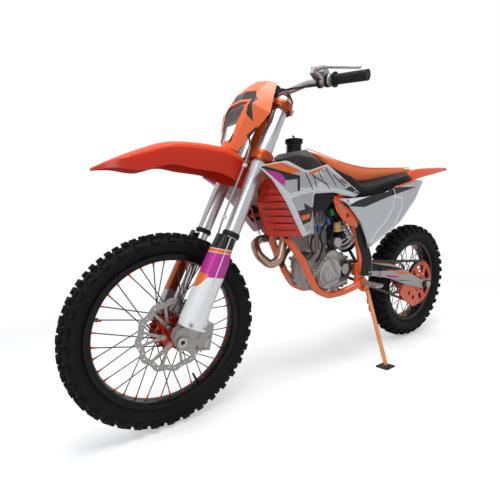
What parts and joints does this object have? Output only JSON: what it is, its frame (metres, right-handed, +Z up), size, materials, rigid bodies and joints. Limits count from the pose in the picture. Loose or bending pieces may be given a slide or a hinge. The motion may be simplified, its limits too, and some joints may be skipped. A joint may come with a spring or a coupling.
{
  "type": "motocross bike",
  "caption": "Off-road motocross bike with lights, knobbly wire-spoked wheels, long-travel fork and swingarm, leaning on its folding side stand.",
  "frame": {"origin": "on the ground under the middle of the parked bike's bounding box", "axes": "+X towards the front wheel, +Y to the rider's left, +Z up; the bike leans 8 degrees to +Y on its side stand"},
  "size_m": [2.1654, 0.808, 1.2694],
  "materials": {
    "axle_steel": "satin",
    "bar_silver": "satin",
    "black_plastic": "matte",
    "cable_black": "satin",
    "caliper_grey": "satin",
    "chain_steel": "oiled",
    "clamp_copper": "anodised",
    "control_metal": "satin",
    "cover_grey": "satin",
    "disc_steel": "brushed",
    "engine_grey": "cast",
    "fork_silver": "anodised",
    "frame_orange": "gloss",
    "grip_rubber": "matte",
    "guard_white": "gloss",
    "header_bronze": "heat tinted",
    "hub_red": "anodised",
    "lamp_lens": "gloss",
    "lamp_red": "gloss",
    "leg_steel": "satin",
    "orange_plastic": "gloss",
    "pad_foam": "matte",
    "panel_white": "gloss",
    "radiator_metal": "satin",
    "rim_black": "satin anodised",
    "seat_tan": "matte",
    "shock_metal": "satin",
    "shroud_white": "gloss",
    "silencer_metal": "brushed",
    "spoke_steel": "satin",
    "spring_white": "gloss",
    "sprocket_red": "anodised",
    "swingarm_silver": "satin",
    "tank_black": "satin",
    "tyre_rubber": "matte"
  },
  "bodies": {
    "chassis": {"chain": "chain_steel", "drive_sprocket": "chain_steel", "frame": "frame_orange", "subframe": "frame_orange", "swingarm": "swingarm_silver", "rear_axle": "axle_steel", "crankcase": "engine_grey", "cylinder": "engine_grey", "engine_covers": "cover_grey", "exhaust_header": "header_bronze", "silencer": "silencer_metal", "fuel_tank": "tank_black", "seat": "seat_tan", "left_shroud": "shroud_white", "right_shroud": "shroud_white", "left_side_panel": "panel_white", "right_side_panel": "panel_white", "rear_fender": "orange_plastic", "tail_lamp": "lamp_red", "air_box": "black_plastic", "radiators": "radiator_metal", "radiator_guards": "orange_plastic", "frame_guards": "black_plastic", "rear_shock": "shock_metal", "shock_spring": "spring_white", "footpegs": "axle_steel", "foot_levers": "axle_steel", "chain_guide": "orange_plastic", "rear_caliper": "caliper_grey"},
    "fork": {"triple_clamps": "clamp_copper", "fork_tubes": "fork_silver", "fork_legs": "leg_steel", "fork_guards": "guard_white", "front_axle": "axle_steel", "front_fender": "orange_plastic", "lamp_mask": "orange_plastic", "headlamp": "lamp_lens", "handlebar": "bar_silver", "grips": "grip_rubber", "bar_mount": "bar_silver", "bar_pad": "pad_foam", "instrument": "black_plastic", "hand_controls": "control_metal", "front_caliper": "caliper_grey", "control_cables": "cable_black", "brake_hose": "cable_black"},
    "front_wheel": {"front_tyre": "tyre_rubber", "front_rim": "rim_black", "front_spokes": "spoke_steel", "front_hub": "hub_red", "front_disc": "disc_steel"},
    "rear_wheel": {"rear_tyre": "tyre_rubber", "rear_rim": "rim_black", "rear_spokes": "spoke_steel", "rear_hub": "hub_red", "rear_disc": "disc_steel", "rear_sprocket": "sprocket_red"},
    "side_stand": {"side_stand": "clamp_copper"}
  },
  "joints": [
    {"name": "steering", "type": "hinge", "parent": "chassis", "child": "fork", "pos_m": [0.33688, -0.02102, 1.02896], "axis": [-0.4399, 0.125, 0.8893], "range_deg": [-40, 40]},
    {"name": "front_wheel_spin", "type": "hinge", "parent": "fork", "child": "front_wheel", "pos_m": [0.73603, -0.11701, 0.34594], "axis": [0, 0.9903, -0.1392], "continuous": true},
    {"name": "rear_wheel_spin", "type": "hinge", "parent": "chassis", "child": "rear_wheel", "pos_m": [-0.74897, -0.11882, 0.33307], "axis": [0, 0.9903, -0.1392], "continuous": true},
    {"name": "side_stand_fold", "type": "hinge", "parent": "chassis", "child": "side_stand", "pos_m": [-0.22498, -0.00928, 0.36311], "axis": [0, 0.9903, -0.1392], "range_deg": [0, 92]}
  ]
}
